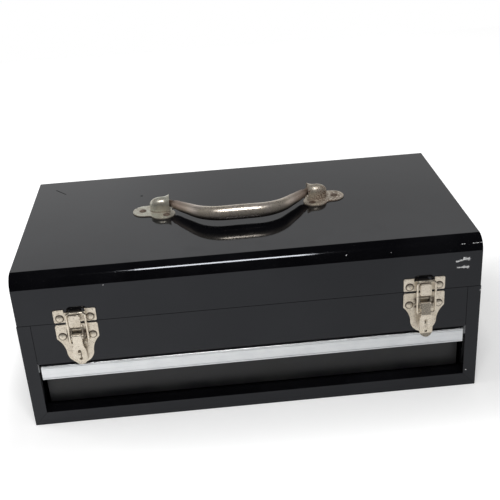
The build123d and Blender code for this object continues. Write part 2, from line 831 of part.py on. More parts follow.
def make_latch_lever(centre, swing):
    """Pressed lever: a head on the pin, two cheeks for the bail and a cranked, slotted blade."""
    frame = lever_frame(centre, swing)
    section = lever_section(frame)
    roll = frame.location * Location((0, 0, 0), (0, 90, 0))
    hollow = lever_top_width - 2 * lever_sheet
    with BuildPart() as lever:
        extrude(lever_blade_section(section), amount=lever_width, both=True)
        extrude(lever_blade_face(frame), amount=lever_length(), both=True, mode=Mode.INTERSECT)
        extrude(lever_head_face(section), amount=lever_top_width / 2, both=True)
        for side in (-1, 1):
            inset = lever_top_width / 2 - lever_sheet / 2
            cheek = lever_cheek_face(section.offset(side * inset))
            extrude(cheek, amount=lever_sheet / 2, both=True)
        with Locations(roll):
            bore = lever_pin_radius + lever_pin_clearance
            Cylinder(bore, lever_top_width + 2, mode=Mode.SUBTRACT)
            Cylinder(lever_head_radius - lever_sheet, hollow, mode=Mode.SUBTRACT)
        pivot = Location((0, -bail_pivot_drop, -bail_pivot_inset), (0, 90, 0))
        with Locations(frame.location * pivot):
            bore = bail_wire_radius + bail_hole_clearance
            Cylinder(bore, lever_top_width + 2, mode=Mode.SUBTRACT)
    return lever


def lever_section(frame):
    """The lever's side view: x outwards, y to its head."""
    return Plane(frame.origin, x_dir=frame.z_dir, z_dir=-frame.x_dir)


def lever_route():
    """Outer face of the blade in section: straight, then cranked in, then turned out at the lip."""
    lean = radians(lever_crank)
    lip = radians(lever_crank - lever_lip_turn)
    crank = (lever_head_radius, -lever_straight)
    foot = (crank[0] - lever_lower * sin(lean), crank[1] - lever_lower * cos(lean))
    end = (foot[0] - lever_lip * sin(lip), foot[1] - lever_lip * cos(lip))
    return [(lever_head_radius, 0), crank, foot, end]


def lever_length():
    return -lever_route()[-1][1]


def lever_blade_section(section):
    """The sheet of the blade in section, its thickness laid inside the outer face."""
    with BuildSketch(section) as blade:
        with BuildLine():
            FilletPolyline(*lever_route(), radius=lever_bend_radius)
            offset(amount=lever_sheet, side=Side.RIGHT)
        make_face()
    return blade.sketch


def lever_head_face(section):
    """The head in section: round behind, with a small corner on the outer side at the top."""
    size = lever_head_radius
    with BuildSketch(section) as head:
        Circle(size)
        with Locations((size / 2, size / 2)):
            Rectangle(size, size)
        corner = head.vertices().group_by(Axis.X)[-1].sort_by(Axis.Y)[-1]
        fillet(corner, lever_head_corner)
    return head.sketch


def lever_blade_face(plane):
    """The blade seen from the front: narrow at the head, flared, round ended and slotted."""
    top_half = lever_top_width / 2
    half = lever_width / 2
    length = lever_length()
    waist = (lever_flare_start + lever_flare_end) / 2
    with BuildSketch(plane) as blade:
        with BuildLine():
            Polyline((0, 0), (top_half, 0), (top_half, -lever_flare_start))
            Bezier(
                (top_half, -lever_flare_start),
                (top_half, -waist),
                (half, -waist),
                (half, -lever_flare_end),
            )
            Line((half, -lever_flare_end), (half, half - length))
            CenterArc((0, half - length), half, 270, 90)
            Line((0, -length), (0, 0))
        make_face()
        mirror(about=Plane.YZ)
        with Locations((0, -lever_slot_start - lever_slot_length / 2)):
            SlotOverall(lever_slot_length, lever_slot_width, rotation=90, mode=Mode.SUBTRACT)
    return blade.sketch


def lever_cheek_face(section):
    """A cheek in section: from the blade back to a boss round the bail's hole."""
    blade = lever_head_radius - lever_sheet / 2
    low = -bail_pivot_drop - cheek_boss_radius
    with BuildSketch(section) as cheek:
        with BuildLine():
            Polyline(
                (blade, 0),
                (blade, -lever_straight),
                (-bail_pivot_inset, low),
                (-bail_pivot_inset - cheek_boss_radius, -bail_pivot_drop),
                (-lever_head_radius + lever_sheet / 2, 0),
                close=True,
            )
        make_face()
        with Locations((-bail_pivot_inset, -bail_pivot_drop)):
            Circle(cheek_boss_radius)
    return cheek.sketch


def bail_places(swing):
    """The bail's pivot and bar, as (y, z) from the front plane, with the bar on its hook."""
    turn = radians(swing)
    pivot_y = -lever_pivot_reach + bail_pivot_inset * cos(turn) - bail_pivot_drop * sin(turn)
    pivot_z = lever_pivot_level - bail_pivot_inset * sin(turn) - bail_pivot_drop * cos(turn)
    shut_y = -lever_pivot_reach + bail_pivot_inset
    shut_z = lever_pivot_level - bail_pivot_drop
    seat = strike_bottom + strike_bridge_height + bail_wire_radius + bail_seat_gap
    length = hypot(-bail_bar_reach - shut_y, seat - shut_z)
    rise = (length**2 - (-bail_bar_reach - pivot_y) ** 2) ** 0.5
    return (pivot_y, pivot_z), (-bail_bar_reach, pivot_z + rise), length


def make_latch_bail(centre, swing, shift):
    """Wire bail, slid along its pivot: its bar lies on the hook, its feet are in the cheeks."""
    pivot, bar, length = bail_places(swing)
    lean = Vector(0, bar[0] - pivot[0], bar[1] - pivot[1]).normalized()
    origin = (centre + shift, front_y + pivot[0], pivot[1])
    frame = Plane(origin, x_dir=(1, 0, 0), z_dir=Vector(1, 0, 0).cross(lean))
    half = bail_inner_width / 2 + bail_wire_radius
    foot = lever_top_width / 2 - lever_sheet - bail_foot_overrun - shift
    with BuildPart() as bail:
        with BuildLine(frame) as route:
            FilletPolyline(
                (-foot, 0),
                (-half, 0),
                (-half, length),
                (half, length),
                (half, 0),
                (foot, 0),
                radius=[bail_hook_radius, bail_corner_radius, bail_corner_radius, bail_hook_radius],
            )
        start = Plane(origin=route.line @ 0, z_dir=route.line % 0)
        with BuildSketch(start):
            Circle(bail_wire_radius)
        sweep()
    return bail


# ================================================================ carrying handle
def handle_frame():
    """Plane of the handle: x to the right, y from the pivots to the grip."""
    tilt = radians(handle_rest_tilt)
    return Plane((0, handle_y, handle_z), x_dir=(1, 0, 0), z_dir=(0, -sin(tilt), -cos(tilt)))


def handle_route(end):
    """Centre line of the handle between two ends on the pivot axis."""
    return [
        (-end, 0),
        (-handle_neck_offset, 0),
        (-handle_bend_offset, handle_reach),
        (handle_bend_offset, handle_reach),
        (handle_neck_offset, 0),
        (end, 0),
    ]


def make_handle_rod():
    """Bent steel rod with an upset head at each end, trapped in the cups."""
    frame = handle_frame()
    bends = [handle_neck_bend, handle_grip_bend, handle_grip_bend, handle_neck_bend]
    with BuildPart() as rod:
        with BuildLine(frame) as route:
            FilletPolyline(*handle_route(handle_stub_end), radius=bends)
        with BuildSketch(Plane(origin=route.line @ 0, z_dir=route.line % 0)):
            Circle(handle_rod_radius)
        sweep()
        for side in (-1, 1):
            middle = side * (handle_stub_end - handle_head_length / 2)
            with Locations(Location((middle, handle_y, handle_z), (0, 90, 0))):
                Cylinder(handle_head_radius, handle_head_length)
    return rod


def grip_radius(share):
    """Radius of the grip at a share of its length, thin at both necks."""
    swell = sin(3.14159265 * share) ** 0.95
    return grip_neck_radius + (grip_middle_radius - grip_neck_radius) * swell


def make_handle_grip():
    """Pressed steel grip that swells to the middle, closed over the rod."""
    frame = handle_frame()
    bends = [handle_neck_bend, handle_grip_bend, handle_grip_bend, handle_neck_bend]
    with BuildPart() as grip:
        with BuildLine(frame) as route:
            FilletPolyline(*handle_route(handle_stub_end), radius=bends)
        stations = 18
        for index in range(stations + 1):
            share = index / stations
            along = grip_start + (1 - 2 * grip_start) * share
            here = Plane(origin=route.line @ along, x_dir=frame.z_dir, z_dir=route.line % along)
            with BuildSketch(here):
                Circle(grip_radius(share))
        loft()
        bore = handle_rod_radius + grip_rod_clearance
        with BuildSketch(Plane(origin=route.line @ 0, z_dir=route.line % 0)) as core:
            Circle(bore)
        sweep(core.sketch, path=route.line, mode=Mode.SUBTRACT)
    return grip


def cup_profile():
    """Half of the cup's round outline from its mouth to its closed end, as (x, radius)."""
    end = cup_mouth_offset + cup_length
    with BuildLine() as outline:
        Line((cup_mouth_offset, 0), (cup_mouth_offset, cup_mouth_radius))
        ThreePointArc(
            (cup_mouth_offset, cup_mouth_radius),
            (cup_mouth_offset + 3.2, cup_body_radius + 0.75),
            (cup_mouth_offset + 8.0, cup_body_radius),
        )
        dome = end - cup_dome_length
        Line((cup_mouth_offset + 8.0, cup_body_radius), (dome, cup_body_radius))
        EllipticalCenterArc((dome, 0), cup_dome_length, cup_body_radius, 0, arc_size=90)
        Line((end, 0), (cup_mouth_offset, 0))
    return outline.line


def make_handle_cup(side):
    """Cup that holds one end of the handle, on a three-lobed plate riveted to the lid."""
    plate_z = lid_top + cup_plate_sheet
    axis = Axis((0, handle_y, handle_z), (1, 0, 0))
    with BuildPart() as cup:
        with BuildSketch(Plane((0, handle_y, handle_z), x_dir=(side, 0, 0), z_dir=(0, 0, 1))) as half:
            make_face(cup_profile())
        revolve(half.sketch, axis=axis)
        with BuildSketch(Plane((0, handle_y, plate_z), x_dir=(side, 0, 0), z_dir=(0, 0, 1))) as plan:
            make_face(cup_profile())
            mirror(about=Plane.XZ)
        extrude(plan.sketch, amount=handle_z - plate_z)
        depth = (handle_y - cup_mouth_radius, handle_y + cup_mouth_radius)
        slab((-half_width, half_width), depth, (0, plate_z), Mode.SUBTRACT)
        revolve(cup_hollow(side), axis=axis, mode=Mode.SUBTRACT)
        extrude(cup_plate_face(side), amount=cup_plate_sheet)
        for x, y in handle_rivet_places():
            if x * side > 0:
                with Locations((x, y, lid_top)):
                    Cylinder(latch_rivet_shank + shank_clearance, 6, mode=Mode.SUBTRACT)
    return cup


def cup_hollow(side):
    """The cup's inside: a bell mouth, the rod's bearing and a chamber for its head."""
    bearing = handle_rod_radius + handle_running_clearance
    bell = cup_mouth_radius - cup_wall
    chamber = handle_head_radius + 0.4
    neck = cup_mouth_offset + 5.2
    head_start = handle_stub_end - handle_head_length - seat_gap
    with BuildSketch(Plane((0, handle_y, handle_z), x_dir=(side, 0, 0), z_dir=(0, 0, 1))) as hollow:
        with BuildLine():
            Polyline(
                (cup_mouth_offset - 1, 0),
                (cup_mouth_offset - 1, bell),
                (cup_mouth_offset, bell),
            )
            ThreePointArc(
                (cup_mouth_offset, bell),
                (cup_mouth_offset + 1.6, (bell + bearing) / 2 - 0.6),
                (neck, bearing),
            )
            Polyline(
                (neck, bearing),
                (head_start, bearing),
                (head_start, chamber),
                (handle_stub_end + seat_gap, chamber),
                (handle_stub_end + seat_gap, 0),
                (cup_mouth_offset - 1, 0),
            )
        make_face()
    return hollow.sketch


def cup_plate_face(side):
    """Three round lobes run together with hollow corners."""
    outer = cup_mouth_offset + cup_outer_lobe_offset
    inner = cup_mouth_offset + cup_side_lobe_offset
    with BuildSketch(Plane((0, handle_y, lid_top), x_dir=(side, 0, 0), z_dir=(0, 0, 1))) as face:
        with Locations((outer, 0)):
            Circle(cup_outer_lobe_radius)
        with Locations((inner, cup_side_lobe_spread), (inner, -cup_side_lobe_spread)):
            Circle(cup_side_lobe_radius)
        corners = face.vertices().filter_by_position(Axis.X, 0, outer)
        fillet(corners, cup_lobe_fillet)
    return face.sketch


def make_handle_rivets(side):
    """The three rivets of one cup, through the lid."""
    with BuildPart() as rivets:
        for x, y in handle_rivet_places():
            if x * side > 0:
                add_lid_rivet(x, y, lid_top + cup_plate_sheet, lid_top - lid_sheet)
    return rivets


def handle_rivet_places():
    """The rivets of both cups, as (x, y)."""
    places = []
    outer = cup_mouth_offset + cup_outer_rivet_offset
    inner = cup_mouth_offset + cup_side_rivet_offset
    for side in (-1, 1):
        places.append((side * outer, handle_y))
        for spread in (-cup_side_rivet_spread, cup_side_rivet_spread):
            places.append((side * inner, handle_y + spread))
    return places


# ================================================================ lid stay
def stay_case_pivot():
    return (hinge_y - stay_case_back, hinge_z - stay_case_drop)


def stay_lid_pivot():
    return (hinge_y - stay_lid_back, hinge_z + stay_lid_rise)


def stay_elbow():
    """The stay is a parallelogram: its elbow lies across from the hinge."""
    case_y, case_z = stay_case_pivot()
    return (case_y - stay_lid_back, case_z + stay_lid_rise)


def upper_link_x():
    return inner_half - stay_wall_gap - stay_link_sheet


def lower_link_x():
    return upper_link_x() - stay_gap - stay_link_sheet


def stay_disc(place, low, high, radius, mode=Mode.ADD):
    """A round piece along X at a (y, z) place."""
    with Locations(Location(((low + high) / 2, *place), (0, 90, 0))):
        Cylinder(radius, high - low, mode=mode)


def stay_link(low_x, start, end, overrun=0.0):
    """A flat bar with round ends between two (y, z) places."""
    span = hypot(end[0] - start[0], end[1] - start[1])
    turn = degrees(atan2(end[1] - start[1], end[0] - start[0]))
    middle = ((start[0] + end[0]) / 2, (start[1] + end[1]) / 2)
    shift = overrun / 2
    centre = (
        middle[0] + shift * cos(radians(turn)),
        middle[1] + shift * sin(radians(turn)),
    )
    with BuildSketch(Plane.YZ.offset(low_x)) as bar:
        with Locations(centre):
            SlotCenterToCenter(span + overrun, stay_link_width, rotation=turn)
    extrude(bar.sketch, amount=stay_link_sheet)


def make_stay_lower_link():
    """The bar from the case's stud to the elbow, with a stop pin beyond the elbow."""
    start, end = stay_case_pivot(), stay_elbow()
    low = lower_link_x()
    span = hypot(end[0] - start[0], end[1] - start[1])
    along = ((end[0] - start[0]) / span, (end[1] - start[1]) / span)
    stop = (end[0] + stay_stop_offset * along[0], end[1] + stay_stop_offset * along[1])
    with BuildPart() as link:
        stay_link(low, start, end, stay_stop_offset)
        stay_disc(stop, low, low + 2 * stay_link_sheet + stay_gap, stay_pin_radius)
        hole = stay_pin_radius + stay_hole_clearance
        stay_disc(start, low - 1, low + stay_link_sheet + 1, hole, Mode.SUBTRACT)
        stay_disc(end, low - 1, low + stay_link_sheet + 1, hole, Mode.SUBTRACT)
    return link


def make_stay_upper_link():
    """The bar from the lid's stud to the elbow."""
    start, end = stay_lid_pivot(), stay_elbow()
    low = upper_link_x()
    with BuildPart() as link:
        stay_link(low, start, end)
        for place in (start, end):
            hole = stay_pin_radius + stay_hole_clearance
            stay_disc(place, low - 1, low + stay_link_sheet + 1, hole, Mode.SUBTRACT)
    return link


def make_stay_elbow_rivet():
    """Rivet of the elbow, tight in the lower link and free in the upper one."""
    low = lower_link_x()
    high = upper_link_x() + stay_link_sheet
    elbow = stay_elbow()
    with BuildPart() as rivet:
        stay_disc(elbow, low - stay_head_height, high + stay_gap + stay_head_height, stay_pin_radius)
        stay_disc(elbow, low - stay_head_height, low, stay_head_radius)
        stay_disc(elbow, high + stay_gap, high + stay_gap + stay_head_height, stay_head_radius)
    return rivet


def make_stay_stud(place, wall_inner, wall_outer, link_low):
    """Shouldered stud riveted flush in a side wall, carrying one end of a link."""
    link_high = link_low + stay_link_sheet
    tip = link_low - stay_gap - stay_head_height
    with BuildPart() as stud:
        stay_disc(place, tip, wall_outer, stay_pin_radius)
        stay_disc(place, tip, link_low - stay_gap, stay_head_radius)
        stay_disc(place, link_high + stay_gap, wall_inner, stay_head_radius)
    return stud


# ================================================================ make and write every piece
save(make_case_shell(), "case_shell")
save(make_rear_panel(), "rear_panel")
save(make_front_panel(), "front_panel")
save(make_compartment_floor(), "compartment_floor")
save(make_drawer_stops(), "drawer_stops")
save(make_drawer_tray(), "drawer_tray")
save(make_drawer_front(), "drawer_front")
save(make_drawer_pull(), "drawer_pull")
save(make_pull_rivets(), "pull_rivets")

save(make_hinge_leaf(0, -1, case_hinge_rivet_level()), "hinge_leaf_case")
save(make_hinge_leaf(1, 1, lid_hinge_rivet_level()), "hinge_leaf_lid")
save(make_hinge_pin(), "hinge_pin")
save(make_hinge_rivets(case_sheet, case_hinge_rivet_level()), "hinge_rivets_case")
save(make_hinge_rivets(lid_sheet, lid_hinge_rivet_level()), "hinge_rivets_lid")

save(make_lid_shell(), "lid_shell")
save(make_handle_rod(), "handle_rod")
save(make_handle_grip(), "handle_grip")

for name, side in (("left", -1), ("right", 1)):
    save(make_lid_end(side), f"lid_end_{name}")
    save(make_slide_rail(side), f"slide_rail_{name}")
    save(make_drawer_runner(side), f"drawer_runner_{name}")
    save(make_handle_cup(side), f"handle_cup_{name}")
    save(make_handle_rivets(side), f"handle_rivets_{name}")

for name, centre, swing, shift in (
    ("left", -latch_centre, 0.0, left_bail_shift),
    ("right", latch_centre, right_lever_swing, right_bail_shift),
):
    save(make_latch_plate(centre), f"latch_plate_{name}")
    save(make_latch_strike(centre), f"latch_strike_{name}")
    save(make_latch_rivets(centre, plate_rivet_level, case_sheet), f"plate_rivets_{name}")
    save(make_latch_rivets(centre, strike_rivet_level, lid_sheet), f"strike_rivets_{name}")
    save(make_lever_pin(centre), f"lever_pin_{name}")
    save(make_latch_lever(centre, swing), f"latch_lever_{name}")
    save(make_latch_bail(centre, swing, shift), f"latch_bail_{name}")

save(make_stay_lower_link(), "stay_lower_link")
save(make_stay_upper_link(), "stay_upper_link")
save(make_stay_elbow_rivet(), "stay_elbow_rivet")
case_stud = make_stay_stud(stay_case_pivot(), inner_half, half_width, lower_link_x())
save(case_stud, "stay_stud_case")
lid_stud = make_stay_stud(stay_lid_pivot(), lid_half - lid_sheet, lid_half, upper_link_x())
save(lid_stud, "stay_stud_lid")
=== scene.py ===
"""Machinist tool chest: its finishes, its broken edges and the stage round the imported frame.

Everything is in metres, in the frame of the chest: origin at the centre of the case's
underside, +X to the right, +Y to the back, +Z up.
"""

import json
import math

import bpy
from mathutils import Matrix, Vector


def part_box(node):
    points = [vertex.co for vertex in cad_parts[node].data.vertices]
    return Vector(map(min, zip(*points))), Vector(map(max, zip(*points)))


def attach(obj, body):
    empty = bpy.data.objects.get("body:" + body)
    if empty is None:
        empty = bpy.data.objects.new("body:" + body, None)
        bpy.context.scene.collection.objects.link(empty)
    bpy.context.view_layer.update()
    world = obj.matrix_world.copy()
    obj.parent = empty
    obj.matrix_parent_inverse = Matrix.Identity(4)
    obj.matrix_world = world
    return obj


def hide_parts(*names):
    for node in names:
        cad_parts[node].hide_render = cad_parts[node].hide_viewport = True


bl_info = {
    "name": "Machinist Tool Chest",
    "version": (1, 0, 0),
    "blender": (4, 5, 0),
    "location": "3D View > Sidebar > Tool Chest",
    "description": "Dresses a machinist tool chest: black enamel, worn nickel hardware and a bright pull",
    "category": "Object",
}

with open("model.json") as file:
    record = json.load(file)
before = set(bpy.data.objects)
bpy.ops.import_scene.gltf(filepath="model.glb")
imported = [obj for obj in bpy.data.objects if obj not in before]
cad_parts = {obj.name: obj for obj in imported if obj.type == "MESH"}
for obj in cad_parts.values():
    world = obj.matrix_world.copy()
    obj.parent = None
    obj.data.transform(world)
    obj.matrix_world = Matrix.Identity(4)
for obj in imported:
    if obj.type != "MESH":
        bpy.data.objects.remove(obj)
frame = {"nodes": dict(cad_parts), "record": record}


# ---------------------------------------------------------------- places on the chest
def middle(node, axis):
    """The middle of a node's box along an axis: 0 is X, 1 is Y and 2 is Z."""
    low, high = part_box(node)
    return (low[axis] + high[axis]) / 2


LID_LOW, LID_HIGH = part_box("lid_shell")
FRONT = LID_LOW[1]
LID_TOP = LID_HIGH[2]

# The latches stand this far left and right of the middle, with two rows of rivet heads each.
LATCH_CENTRE = middle("latch_plate_right", 0)
STRIKE_RIVET_Z = middle("strike_rivets_right", 2)
PLATE_RIVET_Z = middle("plate_rivets_right", 2)

# How far each rivet stands from its latch's centre line, and the ring of dirt and painted shadow round
# its head.
RIVET_SPREAD = 0.0163
RIVET_RING = 0.0041

# The height beside the rolled heads of the levers where dirt and painted shade darken the plate.
LEVER_HEAD_Z = 0.1165

# The photograph's camera, solved from the chest's straight edges: its own axes and its place.
CAMERA_RIGHT = (0.99514587, -0.08012977, -0.05713078)
CAMERA_UP = (0.0868756, 0.4425843, 0.89250869)
CAMERA_BACK = (-0.04623133, -0.89313961, 0.44739726)
CAMERA_PLACE = (-0.0402, -0.95325, 0.6098)

# The pale floor: its width, how far it runs behind the chest's middle, and the strip in front of
# the chest over which its glow comes up.
FLOOR_WIDTH = 4.0
FLOOR_BEHIND = 1.6
FLOOR_FADE = 0.16

# What the enamel mirrors: the brightest part of the white sweep, and the dim room above it.
SWEEP_WHITE = 0.98
DIM_ROOM = 0.009

# The world's share of light on everything that the camera doesn't see straight.
WORLD_LEVEL = 0.8

# Rust is rough and hardly metallic. Dirt and painted shade reach this far out of a corner.
RUST_ROUGHNESS = 0.75
RUST_METALLIC = 0.15
CORNER_DIRT_AND_SHADE = 0.002

# In a copied mesh, corners this near are one corner.
MERGE = 0.000002

# Degrees: faces this near to flat become one face, edges that turn more than BREAK_ABOVE are
# broken, and edges that turn less than SMOOTH_BELOW are shaded smooth.
FLAT_WITHIN = 0.5
BREAK_ABOVE = 38
SMOOTH_BELOW = 28

# Chips down to the steel, each from one point to another, with its width.
CHIPS = (
    ((0.2250, FRONT, 0.1632), (0.2384, FRONT, 0.1664), 0.0016),
    ((0.2330, FRONT, 0.1664), (0.2384, FRONT, 0.1652), 0.0021),
    ((0.2262, FRONT, 0.1560), (0.2378, FRONT, 0.1556), 0.0013),
    ((0.2335, FRONT, 0.1562), (0.2380, FRONT, 0.1556), 0.0021),
    ((0.2300, -0.1304, 0.1826), (0.2340, -0.1304, 0.1826), 0.0004),
    ((0.2430, -0.1304, 0.1826), (0.2535, -0.1304, 0.1828), 0.0006),
    ((-0.1556, FRONT, 0.1730), (-0.1550, FRONT, 0.1731), 0.0005),
    ((0.1045, -0.1313, 0.1816), (0.1070, -0.1313, 0.1824), 0.0008),
    ((0.1512, -0.1313, 0.1796), (0.1530, -0.1313, 0.1802), 0.0008),
    ((0.2530, FRONT, 0.1254), (0.2540, FRONT, 0.1250), 0.0011),
    ((0.2420, FRONT, 0.0212), (0.2426, FRONT, 0.0206), 0.0008),
)

# Dark marks in the top of the lid: a dot and a scratch.
DENTS = (
    ((-0.1188, 0.0628, LID_TOP), (-0.1185, 0.0628, LID_TOP), 0.0017),
    ((-0.2296, 0.1051, LID_TOP), (-0.2157, 0.0887, LID_TOP), 0.0007),
)

SHEET_NODES = (
    "lid_shell",
    "lid_end_left",
    "lid_end_right",
    "case_shell",
    "front_panel",
    "rear_panel",
    "drawer_front",
    "drawer_tray",
)
HARDWARE_NODES = (
    "latch_plate_left",
    "latch_plate_right",
    "latch_strike_left",
    "latch_strike_right",
    "latch_lever_left",
    "latch_lever_right",
    "drawer_pull",
    "handle_cup_left",
    "handle_cup_right",
)


# ---------------------------------------------------------------- small helpers
def chest():
    return bpy.context.scene.chest_looks


def stage_settings():
    return bpy.context.scene.chest_stage


def cad(node):
    """The frame's object for a node."""
    return frame["nodes"][node]


def deselect_everything():
    if bpy.context.object and bpy.context.object.mode != "OBJECT":
        bpy.ops.object.mode_set(mode="OBJECT")
    bpy.ops.object.select_all(action="DESELECT")


def wear(piece, material):
    """Gives a piece or a frame node one material."""
    piece.data.materials.clear()
    piece.data.materials.append(material)


def grey(level):
    return (level, level, level, 1)


def solid(colour):
    """A colour with nothing of it see-through."""
    return (*colour, 1)


# ---------------------------------------------------------------- node trees
class Tree:
    """A node tree, with short ways to add and join nodes."""

    def __init__(self, tree):
        self.tree = tree

    def add(self, kind, **settings):
        node = self.tree.nodes.new(kind)
        for key, value in settings.items():
            setattr(node, key, value)
        return node

    def feed(self, socket, value):
        """Joins a socket to an output, or sets its plain value."""
        if isinstance(value, bpy.types.NodeSocket):
            self.tree.links.new(value, socket)
        else:
            socket.default_value = value

    def axis(self, vector, letter):
        """The X, Y or Z of a vector."""
        node = self.add("ShaderNodeSeparateXYZ")
        self.feed(node.inputs["Vector"], vector)
        return node.outputs[letter]

    def math(self, operation, first, second=0.0):
        """Works out one number from two, or from the first alone."""
        node = self.add("ShaderNodeMath", operation=operation)
        self.feed(node.inputs[0], first)
        self.feed(node.inputs[1], second)
        return node.outputs["Value"]

    def ramp(self, value, low, high, start=0.0, end=1.0, smooth=True):
        """Runs from start to end while the value runs from low to high."""
        node = self.add("ShaderNodeMapRange", clamp=True)
        node.interpolation_type = "SMOOTHSTEP" if smooth else "LINEAR"
        self.feed(node.inputs["Value"], value)
        node.inputs["From Min"].default_value = low
        node.inputs["From Max"].default_value = high
        node.inputs["To Min"].default_value = start
        node.inputs["To Max"].default_value = end
        return node.outputs["Result"]


class Nodes(Tree):
    """A material's node tree; place is where a point lies on the chest, in metres."""

    def __init__(self, name):
        self.material = bpy.data.materials.new(name)
        self.material.use_nodes = True
        super().__init__(self.material.node_tree)
        self.shader = self.tree.nodes["Principled BSDF"]
        self.place = self.add("ShaderNodeTexCoord").outputs["Object"]

    def shade(self, socket, value):
        """Feeds one of the shader's sockets."""
        self.feed(self.shader.inputs[socket], value)

    def noise(self, scale, detail, roughness, distortion=0.0, vector=None):
        """Cloudy noise from 0 to 1, finer with a larger scale."""
        node = self.add("ShaderNodeTexNoise")
        self.feed(node.inputs["Vector"], self.place if vector is None else vector)
        node.inputs["Scale"].default_value = scale
        node.inputs["Detail"].default_value = detail
        node.inputs["Roughness"].default_value = roughness
        node.inputs["Distortion"].default_value = distortion
        return node.outputs["Fac"]

    def stretch(self, scale):
        """The place on the chest, scaled along each axis."""
        node = self.add("ShaderNodeMapping")
        self.feed(node.inputs["Vector"], self.place)
        node.inputs["Scale"].default_value = scale
        return node.outputs["Vector"]

    def vector(self, operation, first, second):
        """Works out a vector, or for DOT_PRODUCT and DISTANCE a number."""
        node = self.add("ShaderNodeVectorMath", operation=operation)
        self.feed(node.inputs[0], first)
        self.feed(node.inputs[1], second)
        return node.outputs["Value" if operation in ("DOT_PRODUCT", "DISTANCE") else "Vector"]

    def scaled(self, direction, amount):
        node = self.add("ShaderNodeVectorMath", operation="SCALE")
        self.feed(node.inputs[0], direction)
        self.feed(node.inputs["Scale"], amount)
        return node.outputs["Vector"]

    def streak(self, start, end, width, ragged):
        """A ragged stroke between two points: 1 on it, 0 beside it."""
        way = Vector(end) - Vector(start)
        direction = tuple(way.normalized())
        offset = self.vector("SUBTRACT", self.place, start)
        along = self.vector("DOT_PRODUCT", offset, direction)
        along = self.ramp(along, 0.0, way.length, 0.0, way.length, smooth=False)
        across = self.vector("DISTANCE", offset, self.scaled(direction, along))
        across = self.math("ADD", across, self.math("MULTIPLY", ragged, width))
        return self.ramp(across, width * 0.8, width * 1.1, 1.0, 0.0)

    def crevice(self, reach):
        """1 in the corners where pieces meet, 0 on open faces: the mask of dirt and painted shade."""
        node = self.add("ShaderNodeAmbientOcclusion", samples=6)
        node.inputs["Distance"].default_value = reach
        return self.ramp(node.outputs["AO"], 0.5, 0.93, 1.0, 0.0)

    def upward(self):
        """How far the surface faces up on the chest: 1 on top, -1 underneath."""
        return self.axis(self.add("ShaderNodeTexCoord").outputs["Normal"], "Z")

    def blend(self, amount, first, second):
        node = self.add("ShaderNodeMix", data_type="RGBA", blend_type="MIX")
        self.feed(node.inputs["Factor"], amount)
        self.feed(node.inputs["A"], first)
        self.feed(node.inputs["B"], second)
        return node.outputs["Result"]

    def bump(self, height, depth, strength, under=None):
        """Bumps of a depth in metres, on top of another bump if there is one."""
        node = self.add("ShaderNodeBump")
        self.feed(node.inputs["Height"], height)
        node.inputs["Distance"].default_value = depth
        node.inputs["Strength"].default_value = strength
        if under is not None:
            self.feed(node.inputs["Normal"], under)
        return node.outputs["Normal"]


# ---------------------------------------------------------------- enamel
def drawer_enamel_painted_lighter():
    """The drawer's enamel: duller than the case's, and a lighter black that paints light into its shaded
    recess.
    """
    n = Nodes("drawer_enamel_painted_lighter")
    cloud = n.noise(24.0, 5.0, 0.6)
    # Painted light: a lighter black than the case's lifts the shaded recess.
    n.shade("Base Color", n.blend(n.ramp(cloud, 0.35, 0.7), solid((0.010, 0.010, 0.012)), grey(0.018)))
    n.shade("Roughness", n.ramp(cloud, 0.3, 0.7, 0.3, 0.42))
    n.shade("Normal", n.bump(n.noise(420.0, 2.0, 0.4), 0.00002, 0.5))
    return n.material


def black_enamel():
    """Glossy black baked enamel: faint orange peel, handling marks, chips down to the steel."""
    looks = chest()
    n = Nodes("black_enamel")
    scuff = n.noise(9.0, 6.0, 0.62)
    haze = n.noise(38.0, 4.0, 0.6)
    speck = n.ramp(n.noise(900.0, 1.0, 0.3), 0.76, 0.79, 0.0, 0.12)
    ragged = n.ramp(n.noise(1300.0, 3.0, 0.7), 0.35, 0.65)
    chips = 0.0
    for start, end, width in CHIPS:
        chips = n.math("MAXIMUM", chips, n.streak(start, end, width, ragged))
    dents = 0.0
    for start, end, width in DENTS:
        dents = n.math("MAXIMUM", dents, n.streak(start, end, width, 0.0))
    base = n.blend(n.ramp(scuff, 0.4, 0.75), solid(looks.enamel_colour), solid(looks.enamel_worn))
    base = n.blend(speck, base, grey(0.2))
    base = n.blend(chips, base, solid(looks.steel_colour))
    n.shade("Base Color", n.blend(dents, base, grey(0.0)))
    worn = n.ramp(haze, 0.45, 0.8, looks.enamel_roughness, looks.enamel_roughness + 0.07)
    marked = n.math("MAXIMUM", chips, dents)
    n.shade("Roughness", n.math("ADD", worn, n.math("MULTIPLY", marked, 0.6)))
    waves = n.bump(n.noise(16.0, 2.0, 0.4), 0.0006, 0.22)
    n.shade("Normal", n.bump(n.noise(420.0, 2.0, 0.4), 0.00002, 0.4, waves))
    n.shade("IOR", 1.45)
    n.shade("Specular Tint", (0.90, 0.93, 1.0, 1.0))
    return n.material


